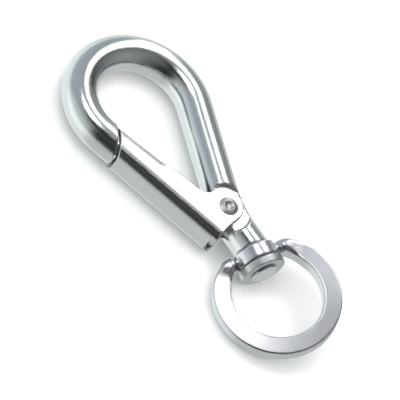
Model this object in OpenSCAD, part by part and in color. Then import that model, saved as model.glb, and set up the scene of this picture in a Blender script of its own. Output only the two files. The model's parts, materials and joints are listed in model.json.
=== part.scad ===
// Swivel snap hook: a bent bar hook closed by a pressed sheet gate, with a flat round
// eye that turns on a spindle at the foot of the shank. All sizes are in millimetres.
//
// Three flat frames are used, and each has its own place_ module:
//   swivel frame - origin where the spindle leaves the shank, +Y along the spindle to the hook
//   hook frame   - origin at the gate's pivot, +Y along the shank
//   gate frame   - origin at the gate's pivot, +Y along the gate to its free end
// The part lies on a floor at z = 0, on the washer's rim, the crown and the eye's low edge.

/* [Hook bar] */
// Diameter of the round bar
bar_d = 9.85; // [9:0.05:12]
// Length of the straight leg, from the elbow's corner to the crown
leg_len = 33.6; // [24:0.1:45]
// Lean of the leg from the shank's axis, in degrees
leg_lean = 22; // [18:0.1:26]
// Radius of the bend between the shank and the leg
elbow_r = 32; // [16:0.5:36]
// Height of the elbow's corner above the pivot
elbow_rise = -0.4; // [-2:0.1:3]
// Radius of the crown, at the middle of the bar
crown_r = 17.4; // [15:0.1:26]
// Angle that the crown turns through, in degrees
crown_turn = 131.5; // [110:0.1:150]
// Radius of the bend down to the nose, at the middle of the bar
nose_r = 15.15; // [12:0.1:24]

// How much thinner the bar is on alternate stretches, which run on into their neighbours
slim = 0.03; // [0.02:0.01:0.05]

/* [Nose] */
// Lean of the nose and the closed gate from the shank, in degrees
gate_lean = 17.4; // [14:0.1:20]
// Length of the nose's straight end, from its bend to the middle of its slanted face
nose_len = 3.6; // [1:0.1:6]
// Slant of the nose's face from square, in degrees
nose_slant = 34; // [15:1:45]
// Gap between the nose's face and the closed gate
nose_gap = 0.45; // [0.2:0.05:1]

/* [Shank and spindle] */
// Length of the shank, from its foot to the pivot
shank_len = 12.5; // [11:0.1:20]
// Diameter of the shank at its foot
shank_foot_d = 9.6; // [8.4:0.1:11]
// Distance of the pivot from the shank's axis, towards the gate
pivot_inset = 1.6; // [0:0.05:3]
// Angle between the shank and the spindle, in degrees
spindle_lean = 10; // [0:0.5:14]
// Diameter of the spindle that carries the eye
spindle_d = 6.2; // [5:0.1:7]
// Diameter of the spindle's peened head
head_d = 7.7; // [7.2:0.1:9]
// Height of the straight rim of the peened head
head_rim = 0.35; // [0.2:0.05:1]
// Height of the dome on the peened head
head_dome = 0.8; // [0.3:0.1:1.5]

/* [Pivot] */
// Diameter of the round recess that the gate's ears lie in
recess_d = 14.2; // [13:0.1:16]
// Thickness of the hook between the floors of the two recesses
pivot_t = 6.9; // [5:0.1:7.5]
// Diameter of the rivet's shank
rivet_d = 3.8; // [3:0.1:4.5]
// Radial clearance of the rivet in the hook
rivet_clear = 0.05; // [0.02:0.01:0.1]
// Diameter of the rivet's heads
rivet_head_d = 5.55; // [5:0.05:7]
// Height of the rivet's heads
rivet_head_h = 0.5; // [0.3:0.05:1]
// Diameter of the dimple in each rivet head
dimple_d = 3.2; // [2:0.1:4]
// Depth of the dimple in each rivet head
dimple_h = 0.4; // [0.1:0.05:0.6]

/* [Gate] */
// Thickness of the gate's sheet
sheet_t = 1.4; // [1:0.1:1.6]
// Gap between the gate's cheeks and the recess floors
cheek_clear = 0.08; // [0.05:0.01:0.2]
// How far the gate's back lies inside the line of the nose
back_inset = 0.1; // [0:0.05:0.5]
// Outer radius of the bends between the gate's back and cheeks
back_r = 3.3; // [2:0.1:3.6]
// Outer radius of the lips that are curled in along the free end
lip_r = 3.5; // [2.5:0.1:4]
// Distance from the pivot to the start of the lips
lip_start = 20.3; // [14:0.1:28]
// Height of the lips above the line of the cheeks' edges
lip_rise = 1; // [0.5:0.1:1.5]
// Distance of the cheeks' edges from the pivot, level with it
cheek_edge = 1.4; // [1:0.1:3]
// Angle between the cheeks' edges and the gate's back, in degrees
gate_taper = 3.2; // [0:0.1:5]
// Radius of the ears round the rivet
ear_r = 5.3; // [4.8:0.1:5.6]
// Distance of the ears' centre from the rivet, along the gate
ear_shift = 0.9; // [0:0.1:1]
// Radius of the fillet between the ears and the cheeks' edges
ear_fillet = 2.4; // [1:0.1:4]
// Distance from the pivot to the gate's tail
tail_len = 3.7; // [3:0.1:5]
// Width of the notch in the back's tail
notch_w = 6; // [4:0.1:6.5]
// Depth of the notch in the back's tail
notch_h = 1.6; // [0.5:0.1:2.5]
// Distance from the rivet to where the tail's edge meets the ears' round
tail_edge = 1; // [0:0.1:2]

/* [Gate spring] */
// Thickness of the leaf
leaf_t = 0.5; // [0.3:0.05:0.7]
// Width of the leaf
leaf_w = 4.6; // [3:0.1:4.6]
// Radius of the leaf's bend, at its middle
leaf_bend_r = 1.45; // [1.2:0.05:1.6]
// Length of the arm that lies on the gate's back
leaf_back_len = 14; // [8:0.5:22]
// Length of the arm that presses on the hook
leaf_arm_len = 9.5; // [6:0.5:10]
// Gap between the leaf and the rounds inside the gate's corners
leaf_clear = 0.03; // [0.02:0.01:0.1]
// Gap between the leaf and the hook's leg
leaf_gap = 0.15; // [0.1:0.01:0.25]

/* [Swivel eye] */
// Diameter of the eye's hole
eye_hole_d = 25.4; // [22:0.1:32]
// How far the collar stands into the round of the hole
collar_dip = 2.2; // [1.6:0.1:3]
// Width of the eye's flat band
eye_band = 5.05; // [4:0.05:7]
// Thickness of the eye's flat band
eye_t = 4.3; // [3.5:0.1:5.5]
// Chamfer along the band's edges
eye_edge = 0.4; // [0.2:0.05:0.8]
// Radius of the shoulders where the band turns in to the collar
shoulder_r = 6; // [5:0.1:7]
// Angle of the shoulders above the eye's middle, in degrees
shoulder_a = 46; // [40:1:50]
// How far the shoulders stand out from the round of the band
shoulder_bulge = 0.3; // [0.1:0.05:0.8]
// Diameter of the round necks between the band and the collar
neck_d = 4; // [3:0.1:4.2]
// Diameter of the collar
collar_d = 12; // [10.5:0.1:13]
// Height of the collar
collar_h = 4.2; // [3.4:0.1:6]
// Chamfer on the collar and the washer
ring_edge = 0.3; // [0.1:0.05:0.5]
// Gap above and below the collar
collar_gap = 0.3; // [0.1:0.05:0.6]
// Radial clearance of the collar on the spindle
spindle_clear = 0.05; // [0.02:0.01:0.1]

/* [Washer] */
// Diameter of the washer
washer_d = 12.7; // [11:0.1:14]
// Thickness of the washer
washer_t = 2.35; // [1.5:0.05:3]

/* [Hidden] */
$fn = 96;

// Reach of a block that is only there to cut or to be cut
far = 60;

// How far a cut, or a shape that is cut back later, runs past the face that it opens
past = 1;

// How far stretches of the bar, and the spindle in the shank, run into their neighbours
lap = 0.5;
spindle_root = 1;

// How far the shank runs on below its foot before it is cut square
shank_sink = 3;

// How far the shoulders run down behind the necks
neck_root = 0.3;

// How much slimmer the leaf's arms are than its bend, and how far they run into it
leaf_slim = 0.02;
leaf_lap = 0.2;

// The leg's corner, and the bar's bend centres, in the hook frame
bar_r = bar_d / 2;
elbow = [pivot_inset, elbow_rise];
elbow_reach = elbow_r * tan(leg_lean / 2);
leg_top = elbow + leg_len * [sin(leg_lean), cos(leg_lean)];
crown_c = leg_top + crown_r * [-cos(leg_lean), sin(leg_lean)];
crown_end = crown_turn - leg_lean;
nose_c = crown_c + (crown_r - nose_r) * [cos(crown_end), sin(crown_end)];

// The nose's axis, which the closed gate carries on, in the gate frame
nose_end = 180 + gate_lean;
nose_tip = nose_c + nose_r * [cos(nose_end), sin(nose_end)];
nose_x = nose_tip[0] * cos(gate_lean) + nose_tip[1] * sin(gate_lean);
nose_y = nose_tip[1] * cos(gate_lean) - nose_tip[0] * sin(gate_lean);
nose_reach = nose_y - nose_len;

// The gate's outside, in the gate frame
back_x = nose_x - bar_r + back_inset;
cheek_in = pivot_t / 2 + cheek_clear;
cheek_out = cheek_in + sheet_t;

// The spring's bend, set so that its arm lies along the leg's flank
arm_lean = leg_lean + gate_lean;
corner_r = back_r - sheet_t;
leaf_over = max(leaf_w / 2 - cheek_in + corner_r, 0);
leaf_rise = corner_r - sqrt(pow(corner_r, 2) - pow(leaf_over, 2));
leaf_x = back_x + sheet_t + leaf_rise + leaf_clear + leaf_t / 2 + leaf_bend_r;
flank = elbow[0] * cos(leg_lean) - elbow[1] * sin(leg_lean) - bar_r - leaf_t / 2 - leaf_gap;
leaf_y = (leaf_x * cos(arm_lean) + leaf_bend_r - flank) / sin(arm_lean);

// The swivel's stack, down the spindle from the shank's foot
collar_y = -collar_gap - collar_h;
washer_y = collar_y - collar_gap - washer_t;
eye_r = eye_hole_d / 2;
rim_r = eye_r + eye_band;
eye_drop = eye_r + collar_gap + collar_h - collar_dip;
neck_y = eye_drop - collar_gap - collar_h / 2;
neck_x = sqrt(pow(eye_r, 2) - pow(neck_y - neck_d / 2 - neck_root, 2));

// How the part lies: the hook pitches to rest on the washer and the crown, and the eye
// turns on its spindle until its edge meets the floor
pivot = [
    -pivot_inset * cos(spindle_lean) - shank_len * sin(spindle_lean),
    -pivot_inset * sin(spindle_lean) + shank_len * cos(spindle_lean)
];
crown_c_y = pivot[1] + crown_c[0] * sin(spindle_lean) + crown_c[1] * cos(spindle_lean);
crown_y = crown_c_y + crown_r;
washer_low_y = washer_y + washer_t - ring_edge;
pitch = atan((washer_d / 2 - bar_r) / (crown_y - washer_low_y));
floor_z = washer_d / 2 * cos(pitch) + washer_low_y * sin(pitch);
eye_lift = (floor_z + eye_drop * sin(pitch)) / cos(pitch);
edge_r = rim_r - eye_edge;
eye_turn = asin(eye_lift / norm([edge_r, eye_t / 2])) - atan(eye_t / 2 / edge_r);

// The middle of the part's box, in the swivel frame
nose_c_x = pivot[0] + nose_c[0] * cos(spindle_lean) - nose_c[1] * sin(spindle_lean);
left_x = nose_c_x - nose_r - bar_r;
right_x = rim_r * cos(eye_turn) + (eye_t / 2 - eye_edge) * sin(eye_turn);
top_y = crown_y * cos(pitch) + bar_r;
low_y = -(eye_drop + rim_r) * cos(pitch);
middle = [(left_x + right_x) / 2, (top_y + low_y) / 2];

// Lays the swivel frame down on the floor
module place_swivel() {
    translate([-middle[0], -middle[1], floor_z]) rotate([-pitch, 0, 0]) children();
}

// Puts the hook frame into the swivel frame
module place_hook() {
    place_swivel() translate([pivot[0], pivot[1], 0]) rotate([0, 0, spindle_lean]) children();
}

// Puts the gate frame into the hook frame, with the gate closed
module place_gate() {
    place_hook() rotate([0, 0, gate_lean]) children();
}

// A round bar along +Y
module bar(len, r1, r2) {
    rotate([-90, 0, 0]) cylinder(h = len, r1 = r1, r2 = r2);
}

// A bend in the round bar, counterclockwise about its centre, run on by over at both ends
module bend(centre, radius, from, turn, r, over) {
    extra = over / radius * 180 / PI;
    translate(centre) rotate([0, 0, from - extra])
        rotate_extrude(angle = turn + 2 * extra) translate([radius, 0]) circle(r = r);
}

// A straight stretch of the bar along +Y, run on by over at both ends
module straight(len, r, over) {
    translate([0, -over, 0]) bar(len + 2 * over, r, r);
}

// A turned ring about the Y axis with chamfered rims, its high face at y = 0
module turned(d, len, edge) {
    rotate([90, 0, 0]) rotate_extrude() polygon([
        [0, 0], [d / 2 - edge, 0], [d / 2, edge],
        [d / 2, len - edge], [d / 2 - edge, len], [0, len]
    ]);
}

// The bar from the shank's elbow round to the uncut nose, in full and slim stretches
module bent_bar() {
    leg_foot = elbow + elbow_reach * [sin(leg_lean), cos(leg_lean)];
    bend(elbow + [elbow_r, -elbow_reach], elbow_r, 180 - leg_lean, leg_lean, bar_r, 0);
    translate(leg_foot) rotate([0, 0, -leg_lean]) straight(leg_len - elbow_reach, bar_r - slim, lap);
    bend(crown_c, crown_r, -leg_lean, crown_turn, bar_r, 0);
    bend(nose_c, nose_r, crown_end, nose_end - crown_end, bar_r - slim, lap);
    translate(nose_tip) rotate([0, 0, 180 + gate_lean]) straight(nose_len + bar_d, bar_r, 0);
}

// The space that the closed gate's slanted end fills, below the nose's face
module below_nose(gap) {
    translate([nose_x, nose_reach - gap / cos(nose_slant), 0]) rotate([0, 0, nose_slant])
        translate([-far, -far, -far / 2]) cube([2 * far, far, far]);
}

// The shank, which leans from the spindle and is cut square to it at its foot
module shank() {
    reach = shank_len + elbow_rise - elbow_reach + lap;
    intersection() {
        rotate([0, 0, spindle_lean]) translate([0, -shank_sink, 0])
            bar(reach + shank_sink, shank_foot_d / 2, bar_r - slim);
        bar(far, bar_d, bar_d);
    }
}

// The spindle and its peened head, whose dome is a slice of a ball
module spindle() {
    ball_r = (pow(head_d / 2, 2) + pow(head_dome, 2)) / (2 * head_dome);
    translate([0, washer_y - head_rim, 0])
        bar(head_rim - washer_y + spindle_root, spindle_d / 2, spindle_d / 2);
    translate([0, washer_y - head_rim, 0]) bar(head_rim, head_d / 2, head_d / 2);
    intersection() {
        translate([0, washer_y - head_rim - head_dome + ball_r, 0]) sphere(r = ball_r);
        translate([0, washer_y - head_rim - head_dome, 0]) bar(head_dome, head_d / 2, head_d / 2);
    }
}

// The hook's bar, nose, pivot recesses, shank and spindle, forged as one piece
module hook_body() {
    color("silver") union() {
        difference() {
            place_hook() bent_bar();
            place_gate() intersection() {
                below_nose(0);
                translate([back_x - past, nose_reach - 2 * bar_d, -bar_d]) cube([2 * bar_d, far, 2 * bar_d]);
            }
            pivot_cuts();
        }
        difference() {
            place_swivel() shank();
            pivot_cuts();
        }
        place_swivel() spindle();
    }
}

// The two round recesses and the rivet's bore
module pivot_cuts() {
    place_hook() {
        for (side = [-1, 1])
            translate([0, 0, side * (pivot_t / 2 + bar_d / 2)])
                cylinder(h = bar_d, d = recess_d, center = true);
        cylinder(h = 2 * bar_d, r = rivet_d / 2 + rivet_clear, center = true);
    }
}

// The gate's back and cheeks as a solid block, shrunk all round by inset
module channel_block(inset) {
    r = back_r - inset;
    x = back_x + inset;
    z = cheek_out - inset;
    translate([x + r, -far / 2, -z]) cube([far, far * 2, 2 * z]);
    translate([x, -far / 2, r - z]) cube([far, far * 2, 2 * (z - r)]);
    for (side = [-1, 1])
        translate([x + r, -far / 2, side * (z - r)]) bar(far * 2, r, r);
}

// The block that the curled lips are cut from, under their own rounded top
module lip_block(inset) {
    r = lip_r - inset;
    z = cheek_out - inset;
    rotate([0, 0, gate_taper]) translate([lip_rise - cheek_edge - inset, 0, 0]) {
        translate([-far, 0, r - z]) cube([far, far, 2 * (z - r)]);
        translate([-far - r, 0, -z]) cube([far, far, 2 * z]);
        for (side = [-1, 1])
            translate([-r, 0, side * (z - r)]) bar(far, r, r);
    }
}

// The cheeks' outline, seen along the rivet
module cheek_outline() {
    edge = [-sin(gate_taper), cos(gate_taper)];
    edge_foot = [-cheek_edge, 0];
    fillet_x = -cheek_edge + ear_fillet - ear_r * sin(gate_taper);
    fillet_y = ear_shift + sqrt(pow(ear_r + ear_fillet, 2) - pow(fillet_x, 2));
    difference() {
        union() {
            polygon([
                [back_x - past, -tail_len], [back_x / 2, -tail_len], [-tail_edge, ear_shift - ear_r],
                [0, ear_shift], [fillet_x, fillet_y],
                edge_foot + edge * (fillet_y + ear_fillet * sin(gate_taper)),
                edge_foot + edge * far, [back_x - past, far]
            ]);
            translate([0, ear_shift]) circle(r = ear_r);
        }
        translate([fillet_x, fillet_y]) circle(r = ear_fillet);
    }
}

// The sheet gate: a channel with ears at the rivet and curled lips at its free end
module gate() {
    color("gainsboro") place_gate() difference() {
        intersection() {
            below_nose(nose_gap);
            union() {
                difference() {
                    intersection() {
                        channel_block(0);
                        translate([0, 0, -far / 2]) linear_extrude(far) cheek_outline();
                        translate([-far, -far, -far]) cube([2 * far, far + lip_start, 2 * far]);
                    }
                    channel_block(sheet_t);
                }
                difference() {
                    intersection() {
                        channel_block(0);
                        lip_block(0);
                        translate([-far, lip_start, -far]) cube([2 * far, far, 2 * far]);
                    }
                    intersection() {
                        channel_block(sheet_t);
                        lip_block(sheet_t);
                    }
                    translate([back_x / 2, 0, lip_r - cheek_out]) cube([far, far, 2 * (cheek_out - lip_r)]);
                }
            }
        }
        cylinder(h = far, r = rivet_d / 2, center = true);
        translate([back_x - past, -tail_len - past, -notch_w / 2])
            cube([back_r + past, notch_h + past, notch_w]);
    }
}

// The rivet, with a low dimpled head outside each cheek
module gate_rivet() {
    dimple_r = (pow(dimple_d / 2, 2) + pow(dimple_h, 2)) / (2 * dimple_h);
    head_z = cheek_out + rivet_head_h;
    color("whitesmoke") place_hook() difference() {
        union() {
            cylinder(h = 2 * head_z, r = rivet_d / 2, center = true);
            for (side = [0, 180])
                rotate([side, 0, 0]) translate([0, 0, cheek_out]) {
                    cylinder(h = rivet_head_h / 2, d = rivet_head_d);
                    translate([0, 0, rivet_head_h / 2])
                        cylinder(h = rivet_head_h / 2, d1 = rivet_head_d, d2 = rivet_head_d - rivet_head_h);
                }
        }
        for (side = [-1, 1])
            translate([0, 0, side * (head_z - dimple_h + dimple_r)]) sphere(r = dimple_r);
    }
}

// One arm of the leaf, a hair slim all round, that runs a little into the bend at its foot
module leaf_arm(len) {
    thin = leaf_t - 2 * leaf_slim;
    translate([leaf_bend_r - thin / 2, -leaf_lap, leaf_slim - leaf_w / 2])
        cube([thin, len + leaf_lap, leaf_w - 2 * leaf_slim]);
}

// The leaf spring: one arm on the gate's back, a bend at its tail, one arm to the leg
module gate_spring() {
    color("lightgrey") place_gate() translate([leaf_x, leaf_y, 0]) {
        mirror([1, 0, 0]) leaf_arm(leaf_back_len);
        rotate([0, 0, 180]) rotate_extrude(angle = 180 - arm_lean)
            translate([leaf_bend_r - leaf_t / 2, -leaf_w / 2]) square([leaf_t, leaf_w]);
        rotate([0, 0, -arm_lean]) leaf_arm(leaf_arm_len);
    }
}

// One end of the eye's band, rounded in to the neck, on the +X side
module shoulder() {
    centre = (rim_r - shoulder_r + shoulder_bulge) * [cos(shoulder_a), sin(shoulder_a)];
    intersection() {
        translate([centre[0], centre[1], -eye_t / 2]) rotate([-90, 0, 0])
            turned(2 * shoulder_r, eye_t, eye_edge);
        translate([neck_x, 0, -far / 2]) cube([far, far, far]);
    }
}

// The flat round band, open at the top between its shoulders
module band() {
    w = eye_t / 2;
    rotate([0, 0, 180 - shoulder_a]) rotate_extrude(angle = 180 + 2 * shoulder_a) polygon([
        [eye_r - past, -w], [rim_r - eye_edge, -w], [rim_r, eye_edge - w],
        [rim_r, w - eye_edge], [rim_r - eye_edge, w], [eye_r - past, w]
    ]);
}

// The eye: the band, its shoulders and necks, and the collar that runs on the spindle
module swivel_eye() {
    color("silver") place_swivel() rotate([0, -eye_turn, 0]) difference() {
        union() {
            translate([0, -eye_drop, 0]) difference() {
                union() {
                    band();
                    shoulder();
                    mirror([1, 0, 0]) shoulder();
                }
                cylinder(h = far, r = eye_r, center = true);
                for (side = [0, 180])
                    rotate([side, 0, 0]) translate([0, 0, eye_t / 2 - eye_edge])
                        cylinder(h = 2 * eye_edge, r1 = eye_r, r2 = eye_r + 2 * eye_edge);
            }
            translate([-neck_x - past, neck_y - eye_drop, 0]) rotate([0, 90, 0])
                cylinder(h = 2 * (neck_x + past), d = neck_d);
            translate([0, -collar_gap, 0]) turned(collar_d, collar_h, ring_edge);
        }
        translate([0, collar_y - past, 0])
            bar(collar_h + 2 * past, spindle_d / 2 + spindle_clear, spindle_d / 2 + spindle_clear);
    }
}

// The washer between the collar and the peened head
module swivel_washer() {
    color("darkgray") place_swivel() difference() {
        translate([0, washer_y + washer_t, 0]) turned(washer_d, washer_t, ring_edge);
        translate([0, washer_y - past, 0]) bar(washer_t + 2 * past, spindle_d / 2, spindle_d / 2);
    }
}

hook_body();
gate();
gate_rivet();
gate_spring();
swivel_eye();
swivel_washer();
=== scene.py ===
import bpy
import bmesh
import json
import math
from mathutils import Matrix, Quaternion, Vector

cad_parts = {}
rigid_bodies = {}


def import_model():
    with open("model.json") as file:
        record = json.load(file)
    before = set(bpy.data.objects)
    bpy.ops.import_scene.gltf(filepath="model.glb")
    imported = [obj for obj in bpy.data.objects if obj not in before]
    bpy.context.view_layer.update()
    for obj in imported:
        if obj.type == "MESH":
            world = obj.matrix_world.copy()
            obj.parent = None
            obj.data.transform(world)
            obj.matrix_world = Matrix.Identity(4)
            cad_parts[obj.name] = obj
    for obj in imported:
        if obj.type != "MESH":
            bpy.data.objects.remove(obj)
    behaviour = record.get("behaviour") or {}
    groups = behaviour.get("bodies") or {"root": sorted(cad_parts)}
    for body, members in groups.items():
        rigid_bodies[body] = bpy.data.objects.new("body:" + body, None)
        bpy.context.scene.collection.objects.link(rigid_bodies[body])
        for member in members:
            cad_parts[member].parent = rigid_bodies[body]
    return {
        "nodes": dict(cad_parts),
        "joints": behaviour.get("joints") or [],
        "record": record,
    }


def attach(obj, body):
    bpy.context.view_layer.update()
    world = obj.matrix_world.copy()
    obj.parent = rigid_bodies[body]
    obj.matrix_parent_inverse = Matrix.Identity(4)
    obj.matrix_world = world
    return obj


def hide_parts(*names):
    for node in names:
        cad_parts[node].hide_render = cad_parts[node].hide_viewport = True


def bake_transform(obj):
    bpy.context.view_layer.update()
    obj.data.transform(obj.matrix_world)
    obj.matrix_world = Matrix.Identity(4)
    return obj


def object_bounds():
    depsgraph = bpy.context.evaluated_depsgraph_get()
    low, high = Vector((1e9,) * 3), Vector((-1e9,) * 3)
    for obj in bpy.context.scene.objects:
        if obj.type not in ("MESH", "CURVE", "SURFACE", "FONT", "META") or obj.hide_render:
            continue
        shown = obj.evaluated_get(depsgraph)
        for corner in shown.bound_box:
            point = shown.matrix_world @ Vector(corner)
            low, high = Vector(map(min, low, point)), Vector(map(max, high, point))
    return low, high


for leftover in list(bpy.data.objects):
    bpy.data.objects.remove(leftover)
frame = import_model()
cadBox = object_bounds()
print("frame loaded:", ", ".join(sorted(frame["nodes"])))


# the frames that the pieces are drawn in, all from the record's joints and mount
joints = {joint["name"]: joint for joint in frame["joints"]}
mounts = {mount["name"]: mount for mount in frame["record"]["mounts"]}
rivetAt = Vector(joints["gate_hinge"]["pos_m"])
hookUp = -Vector(joints["gate_hinge"]["axis"]).normalized()  # square to the hook's flat side
spindleWay = Vector(joints["eye_swivel"]["axis"]).normalized()  # up the spindle, to the hook
eyeUp = Vector(mounts["eye_loop"]["axis"]).normalized()

lean = {"spindle": 10.0, "gate": 17.4, "leg": 22.0}  # degrees, as the forging is bent
shank = {"length": 12.5, "inset": 1.6}  # foot to rivet, and how far the rivet sits off its axis
pastSide = 9.0  # how far the cutting blocks reach, beyond every piece's flat side


def frameFor(origin, way, up, turn=0.0):
    # a place to draw in, in millimetres: Y along way, Z along up, then turned about Z
    side = way.cross(up).normalized()
    axes = Matrix((side, way, side.cross(way))).transposed().to_4x4()
    spin = Matrix.Rotation(math.radians(turn), 4, "Z")
    return Matrix.Translation(origin) @ axes @ spin @ Matrix.Scale(0.001, 4)


leanBack = math.radians(lean["spindle"])
footX = shank["inset"] * math.cos(leanBack) + shank["length"] * math.sin(leanBack)
footY = shank["inset"] * math.sin(leanBack) - shank["length"] * math.cos(leanBack)
shankFoot = rivetAt + 0.001 * (spindleWay.cross(hookUp) * footX + spindleWay * footY)

hookFrame = frameFor(rivetAt, spindleWay, hookUp, lean["spindle"])
gateFrame = frameFor(rivetAt, spindleWay, hookUp, lean["spindle"] + lean["gate"])
swivelFrame = frameFor(shankFoot, spindleWay, hookUp)
eyeFrame = frameFor(shankFoot, spindleWay, eyeUp)


def polar(radius, degrees, centre=(0.0, 0.0)):
    turn = math.radians(degrees)
    return (centre[0] + radius * math.cos(turn), centre[1] + radius * math.sin(turn))


def arc(radius, first, last, steps, centre=(0.0, 0.0)):
    # points from one angle to another, both ends kept
    return [polar(radius, first + (last - first) * k / steps, centre) for k in range(steps + 1)]


def circle(radius, steps):
    return arc(radius, 0, 360, steps)[:-1]


def oblong(left, right, low, high):
    return [(left, low), (right, low), (right, high), (left, high)]


def blockBeyond(middle, slant, halfLong, way, deep):
    # the outline of a cutting block on one side of a slanted line through middle
    near = [polar(halfLong, slant + 180, middle), polar(halfLong, slant, middle)]
    return near + [polar(deep, way, near[1]), polar(deep, way, near[0])]


def ramp(value, low, high):
    t = min(max((value - low) / (high - low), 0.0), 1.0)
    return t * t * (3 - 2 * t)


def walk(start, heading, moves, step=0.6):
    # a flat path of (x, y, heading, length so far); a move is a length, or (radius, turn)
    (x, y), run = start, 0.0
    path = [(x, y, heading, run)]
    for move in moves:
        if isinstance(move, tuple):
            radius, turn = move
            side = 90 if turn > 0 else -90
            centre = polar(radius, heading + side, (x, y))
            count = max(6, round(abs(math.radians(turn)) * radius / step))
            for i in range(1, count + 1):
                now = heading + turn * i / count
                x, y = polar(radius, now - side, centre)
                path.append((x, y, now, run + abs(math.radians(turn)) * radius * i / count))
            heading += turn
            run += abs(math.radians(turn)) * radius
        else:
            count = max(2, round(move / step))
            x0, y0 = x, y
            for i in range(1, count + 1):
                x, y = polar(move * i / count, heading, (x0, y0))
                path.append((x, y, heading, run + move * i / count))
            run += move
    return path


def soften(corners, radius, steps=5, share=0.48, nearlyFlat=172):
    # rounds the corners of a closed outline, using no more than a share of each side
    out = []
    for i, corner in enumerate(corners):
        here = Vector(corner)
        before = Vector(corners[i - 1]) - here
        after = Vector(corners[(i + 1) % len(corners)]) - here
        reach = min(radius, before.length * share, after.length * share)
        if before.angle(after) > math.radians(nearlyFlat):
            out.append(tuple(here))
            continue
        a, b = here + before.normalized() * reach, here + after.normalized() * reach
        for k in range(steps + 1):
            t = k / steps
            out.append(tuple(a * (1 - t) ** 2 + here * 2 * t * (1 - t) + b * t * t))
    return out


def roundedSection(halfWide, halfThick, corner, steps=7, flats=5):
    # a rounded oblong as (across, up) points, always the same count
    points = []
    signs = ((1, 1), (-1, 1), (-1, -1), (1, -1))
    middles = [(x * (halfWide - corner), y * (halfThick - corner)) for x, y in signs]
    for quarter, middle in enumerate(middles):
        points += arc(corner, quarter * 90, quarter * 90 + 90, steps, middle)
        end = polar(corner, quarter * 90 + 90, middles[(quarter + 1) % 4])
        last = points[-1]
        for k in range(1, flats):
            t = k / flats
            points.append((last[0] + (end[0] - last[0]) * t, last[1] + (end[1] - last[1]) * t))
    return points


def solid(name, rings, loop=False):
    # skins a row of equal rings; an open row gets end caps
    made = bmesh.new()
    rows = [[made.verts.new(point) for point in ring] for ring in rings]
    count = len(rows[0])
    pairs = list(zip(rows, rows[1:])) + ([(rows[-1], rows[0])] if loop else [])
    for low, high in pairs:
        for i in range(count):
            j = (i + 1) % count
            made.faces.new((low[i], low[j], high[j], high[i]))
    if not loop:
        made.faces.new(rows[0][::-1])
        made.faces.new(rows[-1])
    return toObject(name, made)


def toObject(name, made):
    bmesh.ops.remove_doubles(made, verts=made.verts, dist=1e-5)
    bmesh.ops.dissolve_degenerate(made, edges=made.edges, dist=1e-6)
    bmesh.ops.recalc_face_normals(made, faces=made.faces)
    mesh = bpy.data.meshes.new(name)
    made.to_mesh(mesh)
    made.free()
    piece = bpy.data.objects.new(name, mesh)
    bpy.context.scene.collection.objects.link(piece)
    return piece


def swept(name, path, section):
    # section(run, whole) gives the (across, up) points there; across is to the path's left
    whole = path[-1][3]
    rings = []
    for x, y, heading, run in path:
        ring = []
        for across, up in section(run, whole):
            px, py = polar(across, heading + 90, (x, y))
            ring.append((px, py, up))
        rings.append(ring)
    return solid(name, rings)


def turned(name, outline, steps=112, upright=False):
    # a lathe job: (radius, height) outline, about Y or, when upright, about Z
    rings = []
    for i in range(steps):
        a = 2 * math.pi * i / steps
        if upright:
            rings.append([(r * math.cos(a), r * math.sin(a), h) for r, h in outline])
        else:
            rings.append([(r * math.sin(a), h, r * math.cos(a)) for r, h in outline])
    return solid(name, rings, loop=True)


def slab(name, outline, low, high, lying="xy"):
    # an outline pulled from low to high along the third axis
    order = {"xy": lambda p, h: (p[0], p[1], h), "xz": lambda p, h: (p[0], h, p[1])}[lying]
    return solid(name, [[order(p, low) for p in outline], [order(p, high) for p in outline]])


def settle(piece):
    # applies the modifiers
    bpy.context.view_layer.update()
    done = piece.evaluated_get(bpy.context.evaluated_depsgraph_get())
    mesh = bpy.data.meshes.new_from_object(done)
    old = piece.data
    piece.modifiers.clear()
    piece.data = mesh
    bpy.data.meshes.remove(old)
    return piece


def carve(piece, tool, way="DIFFERENCE"):
    cut = piece.modifiers.new("carve", "BOOLEAN")
    cut.operation, cut.object, cut.solver = way, tool, "EXACT"
    settle(piece)
    bpy.data.objects.remove(tool)
    return piece


def joined(name, parts):
    made = bmesh.new()
    for part in parts:
        made.from_mesh(part.data)
        bpy.data.objects.remove(part)
    mesh = bpy.data.meshes.new(name)
    made.to_mesh(mesh)
    made.free()
    piece = bpy.data.objects.new(name, mesh)
    bpy.context.scene.collection.objects.link(piece)
    return piece


def forge(piece, cell, relax, soft=None, softRelax=0):
    # fuses touching shells into one skin and eases every edge, more where soft(point) says
    skin = piece.modifiers.new("skin", "REMESH")
    skin.mode, skin.voxel_size = "VOXEL", cell
    ease = piece.modifiers.new("ease", "SMOOTH")
    ease.factor, ease.iterations = 0.5, relax
    settle(piece)
    if soft:
        group = piece.vertex_groups.new(name="soft")
        for vert in piece.data.vertices:
            weight = soft(vert.co)
            if weight > 0.01:
                group.add([vert.index], weight, "REPLACE")
        melt = piece.modifiers.new("melt", "SMOOTH")
        melt.factor, melt.iterations, melt.vertex_group = 0.5, softRelax, "soft"
        settle(piece)
        piece.vertex_groups.clear()
    return piece


def shadeCutFaces(piece, point, normal, reach, deep=0.35, facing=0.75):
    # marks the skin that lies along a sheared face for the darker cut material: a duller finish, darkened
    # further as painted shade for the narrow gap between the hook's nose and the gate
    normal = Vector(normal).normalized()
    for face in piece.data.polygons:
        off = Vector(face.center) - Vector(point)
        along = abs(off.dot(normal)) < deep and off.length < reach
        if along and face.normal.dot(normal) > facing:
            face.material_index = 1


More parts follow.
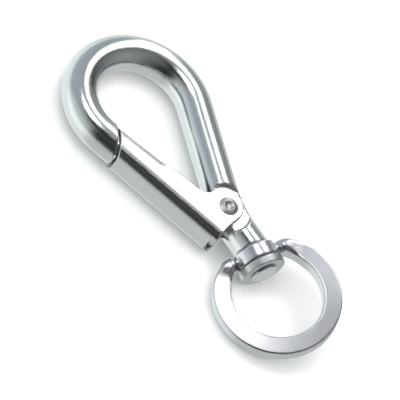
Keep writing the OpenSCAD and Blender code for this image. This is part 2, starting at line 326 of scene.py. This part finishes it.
def finishPiece(piece, place, body, nodes, material, shadedCut=None):
    if shadedCut:
        shadeCutFaces(piece, **shadedCut)
    marks = [face.material_index for face in piece.data.polygons]
    piece.data.transform(place)
    piece.data.shade_smooth()
    piece.data.materials.clear()
    piece.data.materials.append(material)
    # the marked faces get the darker cut material, which is partly a duller finish and partly painted shade
    # for the nose gap
    if shadedCut:
        piece.data.materials.append(shadedCutZinc)
        for face, shadedMark in zip(piece.data.polygons, marks):
            face.material_index = shadedMark
    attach(piece, body)
    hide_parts(*nodes)
    triangles = sum(len(face.vertices) - 2 for face in piece.data.polygons)
    print(piece.name, "made,", triangles, "triangles")


def nodeGroup(name, inputs, outputs):
    group = bpy.data.node_groups.new(name, "ShaderNodeTree")
    for label, kind, value in inputs:
        socket = group.interface.new_socket(name=label, in_out="INPUT", socket_type=kind)
        socket.default_value = value
    for label, kind in outputs:
        group.interface.new_socket(name=label, in_out="OUTPUT", socket_type=kind)
    return group, group.nodes.new("NodeGroupInput"), group.nodes.new("NodeGroupOutput")


def mathNode(tree, operation, a, b=0.0, clamp=False):
    node = tree.nodes.new("ShaderNodeMath")
    node.operation, node.use_clamp = operation, clamp
    for socket, value in zip(node.inputs, (a, b)):
        if isinstance(value, (int, float)):
            socket.default_value = value
        else:
            tree.links.new(value, socket)
    return node.outputs[0]


def noiseNode(tree, where, scale, detail, rough):
    node = tree.nodes.new("ShaderNodeTexNoise")
    node.inputs["Detail"].default_value = detail
    node.inputs["Roughness"].default_value = rough
    tree.links.new(where, node.inputs["Vector"])
    if isinstance(scale, (int, float)):
        node.inputs["Scale"].default_value = scale
    else:
        tree.links.new(scale, node.inputs["Scale"])
    return node.outputs["Fac"]


def platingGroup():
    # zinc plating: soft clouds, fine speckle and an orange-peel surface
    group, given, result = nodeGroup("zincPlating", [
        ("Bright", "NodeSocketColor", (0.8, 0.8, 0.8, 1)),
        ("Dull", "NodeSocketColor", (0.6, 0.6, 0.6, 1)),
        ("Cloud size", "NodeSocketFloat", 260.0),
        ("Speckle size", "NodeSocketFloat", 2600.0),
        ("Peel size", "NodeSocketFloat", 900.0),
        ("Cloud", "NodeSocketFloat", 0.4),
        ("Speckle", "NodeSocketFloat", 0.4),
        ("Shine", "NodeSocketFloat", 0.14),
        ("Haze", "NodeSocketFloat", 0.14),
    ], [("Color", "NodeSocketColor"), ("Roughness", "NodeSocketFloat"), ("Height", "NodeSocketFloat")])
    where = group.nodes.new("ShaderNodeTexCoord").outputs["Object"]
    cloud = noiseNode(group, where, given.outputs["Cloud size"], 3.0, 0.55)
    speckle = noiseNode(group, where, given.outputs["Speckle size"], 2.0, 0.7)
    peel = noiseNode(group, where, given.outputs["Peel size"], 2.0, 0.5)
    cloudShare = mathNode(group, "MULTIPLY", cloud, given.outputs["Cloud"])
    speckleShare = mathNode(group, "MULTIPLY", speckle, given.outputs["Speckle"])
    dirt = mathNode(group, "ADD", cloudShare, speckleShare, clamp=True)
    tint = group.nodes.new("ShaderNodeMix")
    tint.data_type = "RGBA"
    group.links.new(dirt, tint.inputs["Factor"])
    group.links.new(given.outputs["Bright"], tint.inputs["A"])
    group.links.new(given.outputs["Dull"], tint.inputs["B"])
    haze = mathNode(group, "MULTIPLY", dirt, given.outputs["Haze"])
    rough = mathNode(group, "ADD", given.outputs["Shine"], haze)
    peelShare = mathNode(group, "MULTIPLY", peel, 0.6)
    height = mathNode(group, "ADD", peelShare, mathNode(group, "MULTIPLY", speckle, 0.4))
    group.links.new(tint.outputs["Result"], result.inputs["Color"])
    group.links.new(rough, result.inputs["Roughness"])
    group.links.new(height, result.inputs["Height"])
    return group


def wornEdgeGroup():
    # 0 on plain skin, up to 1 along raised edges, broken up by fine noise
    group, given, result = nodeGroup("wornEdge", [
        ("Reach", "NodeSocketFloat", 0.53),
        ("Break up", "NodeSocketFloat", 0.03),
    ], [("Mask", "NodeSocketFloat")])
    where = group.nodes.new("ShaderNodeTexCoord").outputs["Object"]
    point = group.nodes.new("ShaderNodeNewGeometry").outputs["Pointiness"]
    ragged = noiseNode(group, where, 1100.0, 3.0, 0.6)
    torn = mathNode(group, "MULTIPLY", ragged, given.outputs["Break up"])
    shifted = mathNode(group, "SUBTRACT", point, torn)
    over = mathNode(group, "SUBTRACT", shifted, given.outputs["Reach"])
    mask = mathNode(group, "MULTIPLY", over, 14.0, clamp=True)  # how sharply the rub starts
    group.links.new(mask, result.inputs["Mask"])
    return group


plating = platingGroup()
wornEdge = wornEdgeGroup()


def zincFinish(name, look):
    material = bpy.data.materials.new(name)
    material.use_nodes = True
    tree = material.node_tree
    surface = tree.nodes["Principled BSDF"]
    surface.inputs["Metallic"].default_value = 1.0
    coat = tree.nodes.new("ShaderNodeGroup")
    coat.node_tree = plating
    for label in ("Bright", "Dull"):
        coat.inputs[label].default_value = (*look[label], 1)
    for label in ("Cloud size", "Speckle size", "Peel size", "Cloud", "Speckle", "Shine", "Haze"):
        coat.inputs[label].default_value = look[label]
    edge = tree.nodes.new("ShaderNodeGroup")
    edge.node_tree = wornEdge
    edge.inputs["Reach"].default_value = look["Edge reach"]
    rub = tree.nodes.new("ShaderNodeMix")
    rub.data_type = "RGBA"
    rub.inputs["B"].default_value = (*look["Rubbed"], 1)
    tree.links.new(edge.outputs["Mask"], rub.inputs["Factor"])
    tree.links.new(coat.outputs["Color"], rub.inputs["A"])
    tree.links.new(rub.outputs["Result"], surface.inputs["Base Color"])
    tree.links.new(coat.outputs["Roughness"], surface.inputs["Roughness"])
    bump = tree.nodes.new("ShaderNodeBump")
    bump.inputs["Strength"].default_value = look["Bump"]
    bump.inputs["Distance"].default_value = look["Bump depth"]
    tree.links.new(coat.outputs["Height"], bump.inputs["Height"])
    tree.links.new(bump.outputs["Normal"], surface.inputs["Normal"])
    return material


# the darker cut material: a duller finish on the cut faces, with much darker tones that are painted shade for
# the narrow gap between the nose and the gate
shadedCutLook = {
    "Bright": (0.34, 0.35, 0.35), "Dull": (0.12, 0.12, 0.13), "Rubbed": (0.75, 0.76, 0.76),
    "Cloud size": 900.0, "Speckle size": 2600.0, "Peel size": 1400.0, "Cloud": 0.6, "Speckle": 0.5,
    "Shine": 0.35, "Haze": 0.25, "Edge reach": 0.56, "Bump": 0.8, "Bump depth": 0.00006,
}
shadedCutZinc = zincFinish("shadedCutZinc", shadedCutLook)


# the hook is one round bar, from its nose to the peened spindle; sizes are in millimetres and degrees
hookBar = {
    "radius": 4.895, "elbowRise": -0.4, "elbowRadius": 32.0, "legLength": 33.6,
    "crownRadius": 17.4, "crownTurn": 131.5, "noseRadius": 15.15, "noseLength": 3.6, "noseSlant": 34.0,
    "recessRadius": 7.1, "pivotThick": 6.9, "boreRadius": 1.95,
    "spindleRadius": 3.1, "headRadius": 3.85, "headLow": -7.15, "headRim": 0.35, "headDome": 0.8,
    "spindleRoot": 1.0,  # how far the spindle's stock runs up into the shank
    "noseSpare": 6.0, "footSpare": 3.0,  # bar past the slanted face and past the foot, cut off again
    "cell": 0.25, "relax": 5,
}
barLook = {
    "Bright": (0.81, 0.83, 0.83), "Dull": (0.62, 0.65, 0.66), "Rubbed": (0.9, 0.9, 0.9),
    "Cloud size": 170.0, "Speckle size": 4800.0, "Peel size": 1900.0, "Cloud": 0.35, "Speckle": 0.5,
    "Shine": 0.1, "Haze": 0.12, "Edge reach": 0.53, "Bump": 0.8, "Bump depth": 0.00004,
}


def barPath():
    h = hookBar
    elbowReach = h["elbowRadius"] * math.tan(math.radians(lean["leg"] / 2))
    toElbow = h["footSpare"] + shank["length"] + h["elbowRise"] - elbowReach
    toNose = 180 + lean["gate"] - (h["crownTurn"] - lean["leg"])
    return walk((shank["inset"], -shank["length"] - h["footSpare"]), 90, [
        toElbow, (h["elbowRadius"], -lean["leg"]), h["legLength"] - elbowReach,
        (h["crownRadius"], h["crownTurn"]), (h["noseRadius"], toNose), h["noseLength"] + h["noseSpare"],
    ])


barEnd = barPath()[-1]
noseMiddle = polar(hookBar["noseSpare"], barEnd[2] + 180, barEnd[:2])  # the middle of the slanted face


def buildHook():
    h = hookBar
    ring = circle(h["radius"], steps=72)
    bar = swept("hookBar", barPath(), lambda run, whole: ring)
    slant = lean["gate"] + h["noseSlant"]
    wedge = blockBeyond(noseMiddle, slant, halfLong=12, way=lean["gate"] - 90, deep=14)
    carve(bar, slab("noseWedge", wedge, -pastSide, pastSide))
    foot = (shank["inset"], -shank["length"])
    block = blockBeyond(foot, -lean["spindle"], halfLong=20, way=-90 - lean["spindle"], deep=12)
    carve(bar, slab("footBlock", block, -pastSide, pastSide))
    for side in (-1, 1):
        low, high = sorted((side * h["pivotThick"] / 2, side * pastSide))
        carve(bar, slab("recess", circle(h["recessRadius"], steps=128), low, high))
    carve(bar, slab("bore", circle(h["boreRadius"], steps=64), -pastSide, pastSide))
    top, low = h["spindleRoot"], h["headLow"]
    rim = low - h["headRim"]
    dome = [(h["headRadius"] * x, rim - h["headDome"] * y) for x, y in arc(1, 0, 90, steps=10)]
    outline = [(0, top), (h["spindleRadius"], top), (h["spindleRadius"], low), (h["headRadius"], low)]
    spindle = turned("spindle", outline + dome[:-1] + [(0, dome[-1][1])])
    spindle.data.transform(hookFrame.inverted() @ swivelFrame)
    bar = joined("hookBar", [bar, spindle])
    return forge(bar, h["cell"], h["relax"])


barZinc = zincFinish("brightZincBar", barLook)
noseFace = math.radians(lean["gate"] + hookBar["noseSlant"])
noseNormal = (math.sin(noseFace), -math.cos(noseFace), 0)
# the nose's slanted face takes the darker cut material, painted shade for the gap to the gate's end
finishPiece(buildHook(), hookFrame, "hook", ["hook_body"], barZinc,
            shadedCut={"point": (*noseMiddle, 0), "normal": noseNormal, "reach": 9})


# the gate is pressed sheet, folded to a channel with curled lips
gateSheet = {
    "sheet": 1.4, "backX": -10.769, "noseX": -5.9439, "cheekOut": 4.93, "backRound": 3.3, "lipRound": 3.5,
    "lipStart": 20.3, "lipRise": 1.0, "cheekEdge": 1.4, "taper": 3.2,
    "reach": 34.796, "slant": 34.0, "gap": 0.45,  # the nose's slanted face, and the gap to it
    "earRadius": 5.3, "earShift": 0.9, "earFillet": 2.4,
    "tail": 3.7, "notchWide": 6.0, "notchDeep": 1.6,
    "earStart": -100.0, "cheekRun": 34.0,  # angle the ear's round starts at, and the uncut cheek's length
    "openX": 12.0, "lipBackX": -30.0, "stockEnd": 44.0, "toolEnd": 50.0,  # sheet and blocks, cut off again
    "mouthX": 20.0, "mouthEnd": 60.0, "frontHalf": 25.0, "frontLow": -20.0, "spare": 1.0, "lap": 0.15,
    "holeRadius": 1.9, "firstCell": 0.16, "cell": 0.19, "relax": 3,
}
gateLook = {
    "Bright": (0.83, 0.845, 0.835), "Dull": (0.66, 0.68, 0.67), "Rubbed": (0.93, 0.93, 0.93),
    "Cloud size": 240.0, "Speckle size": 5200.0, "Peel size": 2900.0, "Cloud": 0.3, "Speckle": 0.5,
    "Shine": 0.11, "Haze": 0.13, "Edge reach": 0.53, "Bump": 1.0, "Bump depth": 0.000045,
}


def channelOutline(inset):
    g = gateSheet
    r, x, z = g["backRound"] - inset, g["backX"] + inset, g["cheekOut"] - inset
    low, high = arc(r, 270, 180, 24, (x + r, r - z)), arc(r, 180, 90, 24, (x + r, z - r))
    return [(g["openX"], -z)] + low + high + [(g["openX"], z)]


def lipOutline(inset):
    g = gateSheet
    r, z = g["lipRound"] - inset, g["cheekOut"] - inset
    x = g["lipRise"] - g["cheekEdge"] - inset
    low, high = arc(r, -90, 0, 24, (x - r, r - z)), arc(r, 0, 90, 24, (x - r, z - r))
    return [(g["lipBackX"], -z)] + low + high + [(g["lipBackX"], z)]


def cheekOutline():
    g = gateSheet
    t = math.radians(g["taper"])
    edge = (-math.sin(t), math.cos(t))
    fx = -g["cheekEdge"] + g["earFillet"] - g["earRadius"] * math.sin(t)
    fy = g["earShift"] + math.sqrt((g["earRadius"] + g["earFillet"]) ** 2 - fx ** 2)
    meet = math.degrees(math.atan2(fy - g["earShift"], fx))  # from the ear's middle to the fillet's
    along = fy + g["earFillet"] * math.sin(t)
    ear = arc(g["earRadius"], g["earStart"], meet, 72, (0, g["earShift"]))
    fillet = arc(g["earFillet"], meet + 180, 180 + g["taper"], 24, (fx, fy))[1:]
    foot = (-g["cheekEdge"] + edge[0] * along, edge[1] * along)
    top = (foot[0] + edge[0] * g["cheekRun"], foot[1] + edge[1] * g["cheekRun"])
    back, low = g["backX"] - 2 * g["spare"], -g["tail"]
    return [(back, low), (g["backX"] / 2, low)] + ear + fillet + [foot, top, (back, top[1])]


gateSlant = math.radians(gateSheet["slant"])
gateFront = gateSheet["reach"] - gateSheet["gap"] / math.cos(gateSlant)  # the slanted end, at noseX


def buildGate():
    g = gateSheet
    low, spare = -g["tail"], g["spare"]
    body = slab("gateShell", channelOutline(0), low - spare, g["lipStart"], "xz")
    carve(body, slab("cheeks", cheekOutline(), -pastSide, pastSide), "INTERSECT")
    carve(body, slab("inside", channelOutline(g["sheet"]), low - 2 * spare, g["lipStart"] + spare, "xz"))
    swing = Matrix.Rotation(math.radians(g["taper"]), 4, "Z")
    lips = slab("lips", channelOutline(0), g["lipStart"] - g["lap"], g["stockEnd"], "xz")
    lipBlock = slab("lipBlock", lipOutline(0), 0, g["toolEnd"], "xz")
    lipBlock.data.transform(swing)
    carve(lips, lipBlock, "INTERSECT")
    hollow = slab("hollow", channelOutline(g["sheet"]), 0, g["toolEnd"], "xz")
    hollowLip = slab("hollowLip", lipOutline(g["sheet"]), -2 * spare, g["toolEnd"] + 2 * spare, "xz")
    hollowLip.data.transform(swing)
    carve(hollow, hollowLip, "INTERSECT")
    carve(lips, hollow)
    half = g["cheekOut"] - g["lipRound"]
    carve(lips, slab("mouth", oblong(g["backX"] / 2, g["mouthX"], 0, g["mouthEnd"]), -half, half))
    gate = joined("gateShell", [body, lips])
    left, right = (polar(g["frontHalf"], g["slant"] + turn, (g["noseX"], gateFront)) for turn in (180, 0))
    below = [left, (left[0], g["frontLow"]), (right[0], g["frontLow"]), right]
    notch = oblong(g["backX"] - 2 * spare, g["backX"] + g["backRound"], low - 2 * spare, low + g["notchDeep"])
    forge(gate, g["firstCell"], 0)
    carve(gate, slab("below", below, -pastSide, pastSide), "INTERSECT")
    carve(gate, slab("hole", circle(g["holeRadius"], steps=64), -pastSide, pastSide))
    carve(gate, slab("notch", notch, -g["notchWide"] / 2, g["notchWide"] / 2))
    return forge(gate, g["cell"], g["relax"])


sheetZinc = zincFinish("brightZincSheet", gateLook)
# the gate's slanted front end takes the darker cut material, painted shade for the gap to the nose
finishPiece(buildGate(), gateFrame, "gate", ["gate"], sheetZinc,
            shadedCut={"point": (gateSheet["noseX"], gateFront, 0),
                     "normal": (-math.sin(gateSlant), math.cos(gateSlant), 0), "reach": 9})


# the rivet has a low dimpled head outside each cheek
rivetPin = {
    "radius": 1.9, "cheekOut": 4.93, "headRadius": 2.775, "headHigh": 0.5,
    "dimpleRadius": 1.45, "dimpleDeep": 0.36,
    "rim": 0.1, "edge": 0.1, "domeFall": 0.8, "domeSteps": 12, "dimpleSteps": 10,
}
rivetLook = {
    "Bright": (0.62, 0.62, 0.615), "Dull": (0.46, 0.465, 0.465), "Rubbed": (0.8, 0.8, 0.8),
    "Cloud size": 400.0, "Speckle size": 3000.0, "Peel size": 1100.0, "Cloud": 0.4, "Speckle": 0.4,
    "Shine": 0.28, "Haze": 0.16, "Edge reach": 0.56, "Bump": 0.3, "Bump depth": 0.00002,
}


def buildRivet():
    r = rivetPin
    top = r["cheekOut"] + r["headHigh"]
    foot = r["cheekOut"] + r["rim"]
    span = r["headRadius"] - r["dimpleRadius"]
    shares = [k / r["domeSteps"] for k in range(r["domeSteps"] + 1)]
    dome = [(r["headRadius"] - span * t, foot + (top - foot) * t ** r["domeFall"]) for t in shares]
    ball = (r["dimpleRadius"] ** 2 + r["dimpleDeep"] ** 2) / (2 * r["dimpleDeep"])  # the dimple is part of it
    across = [r["dimpleRadius"] * (1 - k / r["dimpleSteps"]) for k in range(1, r["dimpleSteps"] + 1)]
    dimple = [(x, top - r["dimpleDeep"] + ball - math.sqrt(ball * ball - x * x)) for x in across]
    under = [(r["radius"], r["cheekOut"]), (r["headRadius"] - r["edge"], r["cheekOut"]),
             (r["headRadius"], r["cheekOut"] + r["edge"] / 2)]
    half = under + dome + dimple
    outline = half + [(x, -z) for x, z in half[::-1]]
    return turned("gateRivet", outline, upright=True)


rivetSteel = zincFinish("platedRivet", rivetLook)
finishPiece(buildRivet(), hookFrame, "gate", ["gate_rivet"], rivetSteel)


# the leaf spring lies inside the gate and is bent round at the tail; x and y are the middle of its bend
leafSpring = {
    "thick": 0.5, "wide": 4.6, "bend": 1.45, "x": -7.5168, "y": -1.8506,
    "backArm": 14.8, "legArm": 10.06, "between": 36.5, "edge": 0.12,
}
springLook = {
    "Bright": (0.78, 0.785, 0.78), "Dull": (0.55, 0.56, 0.56), "Rubbed": (0.88, 0.88, 0.88),
    "Cloud size": 300.0, "Speckle size": 2800.0, "Peel size": 1500.0, "Cloud": 0.45, "Speckle": 0.45,
    "Shine": 0.16, "Haze": 0.16, "Edge reach": 0.56, "Bump": 0.3, "Bump depth": 0.00002,
}


def buildSpring():
    s = leafSpring
    path = walk((s["x"] - s["bend"], s["y"] + s["backArm"]), 270,
                [s["backArm"], (s["bend"], 180 - s["between"]), s["legArm"]], step=0.3)
    section = roundedSection(s["thick"] / 2, s["wide"] / 2, s["edge"], steps=3, flats=4)
    return swept("gateSpring", path, lambda run, whole: section)


springSteel = zincFinish("platedSpring", springLook)
spring = buildSpring()
spring.data.transform(gateFrame)
spring.data.shade_smooth()
spring.data.materials.append(springSteel)
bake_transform(spring)
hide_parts("gate_spring")
print("gateSpring made")


# the eye is a flat band that rolls over into two necks on a round collar
eyeRing = {
    "hole": 12.7, "band": 5.05, "thick": 4.3, "edge": 0.42,
    "drop": 15.0, "shoulder": 50.0, "shoulderRadius": 4.02,
    "taper": 4.0,  # how far the flat face leans in towards the hole
    "neckRadius": 2.05, "rollStart": 8.5, "rollEnd": 1.2, "sunk": 0.6,
    "swell": 0.9, "swellStart": 1.4, "swellTop": 0.8, "swellEnd": 6.2,
    "collarRadius": 6.0, "collarTop": -0.3, "collarHigh": 4.2, "collarEdge": 0.45, "boreRadius": 3.15,
    "cell": 0.2, "relax": 3,
    "meltRadius": 3.4, "meltCore": 0.4, "melt": 40, "boreClear": 0.5,  # the smoothing where necks meet collar
}
eyeLook = {
    "Bright": (0.82, 0.83, 0.83), "Dull": (0.6, 0.6, 0.65), "Rubbed": (0.92, 0.92, 0.92),
    "Cloud size": 260.0, "Speckle size": 5200.0, "Peel size": 3600.0, "Cloud": 0.45, "Speckle": 0.8,
    "Shine": 0.1, "Haze": 0.12, "Edge reach": 0.53, "Bump": 1.0, "Bump depth": 0.00005,
}


def buildEye():
    e = eyeRing
    middle = e["hole"] + e["band"] / 2
    turn = 90 - e["shoulder"]
    crest, shoulderHigh = polar(middle - e["shoulderRadius"], e["shoulder"])
    neckHigh = shoulderHigh + e["shoulderRadius"] - e["drop"]
    neckRun = crest - e["boreRadius"] - e["sunk"]
    bend = (e["shoulderRadius"], turn)
    path = walk((-crest + neckRun, neckHigh), 180,
                [neckRun, bend, (middle, 180 + 2 * e["shoulder"]), bend, neckRun])

    def section(run, length):
        near = min(run, length - run)
        roll = ramp(near, neckRun - e["rollEnd"], neckRun + e["rollStart"])
        top = neckRun + e["swellTop"]
        swell = e["swell"] * ramp(near, neckRun - e["swellStart"], top)
        swell *= 1 - ramp(near, top, neckRun + e["swellEnd"])
        points = roundedSection(
            e["neckRadius"] + (e["band"] / 2 - e["neckRadius"]) * roll,
            e["neckRadius"] + (e["thick"] / 2 - e["neckRadius"]) * roll + swell,
            (e["neckRadius"] - 0.02) * (1 - roll) + e["edge"] * roll)
        thin = math.tan(math.radians(e["taper"])) * roll / (e["thick"] / 2)
        return [(across, up * (1 - thin * (e["band"] / 2 - across))) for across, up in points]

    ring = swept("swivelEye", path, section)
    top, low = e["collarTop"], e["collarTop"] - e["collarHigh"]
    inner, outer = e["boreRadius"], e["collarRadius"]
    collar = turned("collar", soften(oblong(inner, outer, low, top), e["collarEdge"]))
    eye = joined("swivelEye", [ring, collar])
    ends = [Vector((side * e["collarRadius"], neckHigh, 0)) for side in (-1, 1)]

    def nearNeck(point):
        if math.hypot(point.x, point.z) < e["boreRadius"] + e["boreClear"]:
            return 0.0
        gap = min((point - end).length for end in ends)
        return 1 - ramp(gap, e["meltRadius"] * e["meltCore"], e["meltRadius"])

    return forge(eye, e["cell"], e["relax"], nearNeck, e["melt"])


eyeZinc = zincFinish("brightZincEye", eyeLook)
finishPiece(buildEye(), eyeFrame, "eye", ["swivel_eye"], eyeZinc)


# the washer lies between the collar and the peened head
washerRing = {"radius": 6.35, "bore": 3.12, "top": -4.8, "thick": 2.35, "edge": 0.4}
washerLook = {
    "Bright": (0.76, 0.77, 0.77), "Dull": (0.5, 0.51, 0.52), "Rubbed": (0.9, 0.9, 0.9),
    "Cloud size": 420.0, "Speckle size": 4200.0, "Peel size": 1500.0, "Cloud": 0.6, "Speckle": 0.6,
    "Shine": 0.2, "Haze": 0.2, "Edge reach": 0.54, "Bump": 1.0, "Bump depth": 0.00014,
}


def buildWasher():
    w = washerRing
    low = w["top"] - w["thick"]
    outline = soften(oblong(w["bore"], w["radius"], low, w["top"]), w["edge"])
    return turned("swivelWasher", outline, steps=144)


washerZinc = zincFinish("zincWasher", washerLook)
finishPiece(buildWasher(), swivelFrame, "hook", ["swivel_washer"], washerZinc)


studio = {
    "floor": 3.0, "below": 0.0001,  # half its width in metres, and its gap under the washer's rim
    "floorShade": 0.93, "fleck": 0.01, "fleckSize": 6.0, "haze": (0.86, 0.87, 0.88),
}
camera = {
    "azimuth": -61.4, "elevation": 51.1, "roll": 40.3, "lens": 1000.0, "sensor": 36.0,
    "wide": 0.1078, "shiftRight": -0.0058, "shiftUp": 0.0041, "near": 0.01, "far": 20.0,
}
airBands = [  # soft glows in the room, each about a direction; 0.5 is square to it and 1 is straight at it
    {"azimuth": 190.0, "elevation": 0.0, "blend": "ADD",  # the pale wall behind the object
     "stops": [(0.0, (0.032, 0.034, 0.035)), (0.47, (0.032, 0.034, 0.035)), (0.55, (0.32, 0.33, 0.33)),
               (0.8, (0.38, 0.42, 0.45)), (1.0, (0.46, 0.50, 0.54))]},
    {"azimuth": 255.0, "elevation": 0.0, "blend": "ADD",  # a brighter patch of it
     "stops": [(0.0, (0, 0, 0)), (0.86, (0, 0, 0)), (0.95, (0.27, 0.28, 0.27))]},
    {"azimuth": 0.0, "elevation": 90.0, "blend": "ADD",  # a dim ceiling
     "stops": [(0.0, (0, 0, 0)), (0.84, (0, 0, 0)), (0.93, (0.03, 0.03, 0.03)), (1.0, (0.06, 0.06, 0.06))]},
    {"azimuth": 0.0, "elevation": -90.0, "blend": "ADD",  # light thrown up off the table
     "stops": [(0.0, (0, 0, 0)), (0.41, (0, 0, 0)), (0.52, (0.44, 0.46, 0.45)),
               (0.75, (0.58, 0.61, 0.59)), (1.0, (0.6, 0.63, 0.61))]},
    {"azimuth": 112.0, "elevation": -22.0, "blend": "MULTIPLY",  # the shaded table under the lamps
     "stops": [(0.0, (1, 1, 1)), (0.84, (1, 1, 1)), (0.95, (0.86, 0.85, 0.83)), (1.0, (0.82, 0.81, 0.79))]},
    {"azimuth": 262.0, "elevation": 74.0, "blend": "MULTIPLY",  # the dark gap between the lamps
     "stops": [(0.0, (1, 1, 1)), (0.962, (1, 1, 1)), (0.982, (0.2, 0.2, 0.21)), (1.0, (0.1, 0.1, 0.11))]},
    {"azimuth": 30.0, "elevation": 30.0, "blend": "ADD",  # a dim far lamp, so that no side is black
     "stops": [(0.0, (0, 0, 0)), (0.7, (0, 0, 0)), (0.9, (0.14, 0.147, 0.152)), (1.0, (0.27, 0.28, 0.285))]},
]


def paintFloor():
    material = bpy.data.materials.new("paleFloor")
    material.use_nodes = True
    tree = material.node_tree
    surface = tree.nodes["Principled BSDF"]
    surface.inputs["Roughness"].default_value = 0.9
    where = tree.nodes.new("ShaderNodeTexCoord").outputs["Object"]
    fleck = noiseNode(tree, where, studio["fleckSize"], 2.0, 0.5)
    shade = tree.nodes.new("ShaderNodeMapRange")
    shade.inputs["To Min"].default_value = studio["floorShade"] - studio["fleck"]
    shade.inputs["To Max"].default_value = studio["floorShade"] + studio["fleck"]
    tree.links.new(fleck, shade.inputs["Value"])
    tree.links.new(shade.outputs["Result"], surface.inputs["Base Color"])
    return material


def layFloor():
    half, z = studio["floor"], -studio["below"]
    made = bmesh.new()
    made.faces.new([made.verts.new((x, y, z)) for x, y in oblong(-half, half, -half, half)])
    floor = toObject("floor", made)
    floor.data.materials.append(paintFloor())
    floor.visible_glossy = False  # the air's own table glow is what the metal mirrors


def toward(azimuth, elevation):
    # the direction to something at an azimuth and elevation, seen from the object
    a, e = math.radians(azimuth), math.radians(elevation)
    return Vector((math.sin(a) * math.cos(e), -math.cos(a) * math.cos(e), math.sin(e)))


def fillAir():
    world = bpy.data.worlds.new("studioAir")
    bpy.context.scene.world = world
    world.use_nodes = True
    tree = world.node_tree
    tree.nodes.clear()
    out = tree.nodes.new("ShaderNodeOutputWorld")
    air = tree.nodes.new("ShaderNodeBackground")
    facing = tree.nodes.new("ShaderNodeTexCoord").outputs["Generated"]
    shade = None
    for band in airBands:
        dot = tree.nodes.new("ShaderNodeVectorMath")
        dot.operation = "DOT_PRODUCT"
        dot.inputs[1].default_value = toward(band["azimuth"], band["elevation"])
        tree.links.new(facing, dot.inputs[0])
        glow = tree.nodes.new("ShaderNodeValToRGB")
        glow.color_ramp.elements.remove(glow.color_ramp.elements[1])
        for i, (at, tone) in enumerate(band["stops"]):
            stop = glow.color_ramp.elements[0] if i == 0 else glow.color_ramp.elements.new(at)
            stop.position, stop.color = at, (*tone, 1)
        half = mathNode(tree, "MULTIPLY", mathNode(tree, "ADD", dot.outputs["Value"], 1.0), 0.5)
        tree.links.new(half, glow.inputs["Fac"])
        if shade is None:
            shade = glow.outputs["Color"]
            continue
        both = tree.nodes.new("ShaderNodeMix")
        both.data_type, both.blend_type = "RGBA", band["blend"]
        both.inputs["Factor"].default_value = 1.0
        tree.links.new(shade, both.inputs["A"])
        tree.links.new(glow.outputs["Color"], both.inputs["B"])
        shade = both.outputs["Result"]
    pale = tree.nodes.new("ShaderNodeMix")
    pale.data_type = "RGBA"
    pale.inputs["B"].default_value = (*studio["haze"], 1)
    tree.links.new(tree.nodes.new("ShaderNodeLightPath").outputs["Is Camera Ray"], pale.inputs["Factor"])
    tree.links.new(shade, pale.inputs["A"])
    tree.links.new(pale.outputs["Result"], air.inputs["Color"])
    tree.links.new(air.outputs[0], out.inputs["Surface"])


lamps = [  # where each lamp is seen from the object, in degrees and metres, and whether metal mirrors it
    {"name": "tallBox", "azimuth": 130.5, "elevation": 32.0, "away": 0.9, "mirrored": True,
     "size": (0.17, 0.76), "watts": 0.7},
    {"name": "wideBox", "azimuth": 118.5, "elevation": 53.5, "away": 0.9, "mirrored": True,
     "size": (0.34, 0.29), "watts": 0.7},
    {"name": "roundBox", "azimuth": 202.0, "elevation": 70.5, "away": 0.9, "mirrored": True,
     "size": (0.30, 0.30), "watts": 0.85},
    {"name": "skyFill", "azimuth": 0.0, "elevation": 89.0, "away": 1.2, "mirrored": False,
     "size": (2.6, 2.6), "watts": 34.0},
]


def hangLamps():
    middle = (Vector(cadBox[0]) + Vector(cadBox[1])) / 2
    for lamp in lamps:
        light = bpy.data.lights.new(lamp["name"], "AREA")
        light.shape, light.size, light.size_y, light.energy = "RECTANGLE", *lamp["size"], lamp["watts"]
        holder = bpy.data.objects.new(lamp["name"], light)
        back = toward(lamp["azimuth"], lamp["elevation"])
        holder.location = middle + back * lamp["away"]
        holder.rotation_mode = "QUATERNION"
        holder.rotation_quaternion = back.to_track_quat("Z", "Y")
        holder.visible_camera = False
        holder.visible_glossy = lamp["mirrored"]
        bpy.context.scene.collection.objects.link(holder)


def setCamera():
    lens = bpy.data.cameras.new("camera")
    lens.lens, lens.sensor_width = camera["lens"], camera["sensor"]
    lens.clip_start, lens.clip_end = camera["near"], camera["far"]
    holder = bpy.data.objects.new("camera", lens)
    back = toward(camera["azimuth"], camera["elevation"])
    turn = (-back).to_track_quat("-Z", "Y") @ Quaternion((0, 0, 1), math.radians(camera["roll"]))
    aim = rivetAt + turn @ Vector((camera["shiftRight"], camera["shiftUp"], 0))
    holder.rotation_mode = "QUATERNION"
    holder.rotation_quaternion = turn
    holder.location = aim + back * (camera["wide"] * camera["lens"] / lens.sensor_width)
    bpy.context.scene.collection.objects.link(holder)
    bpy.context.scene.camera = holder


layFloor()
fillAir()
hangLamps()
setCamera()
bpy.context.scene.view_settings.view_transform = "Standard"
print("studio set")
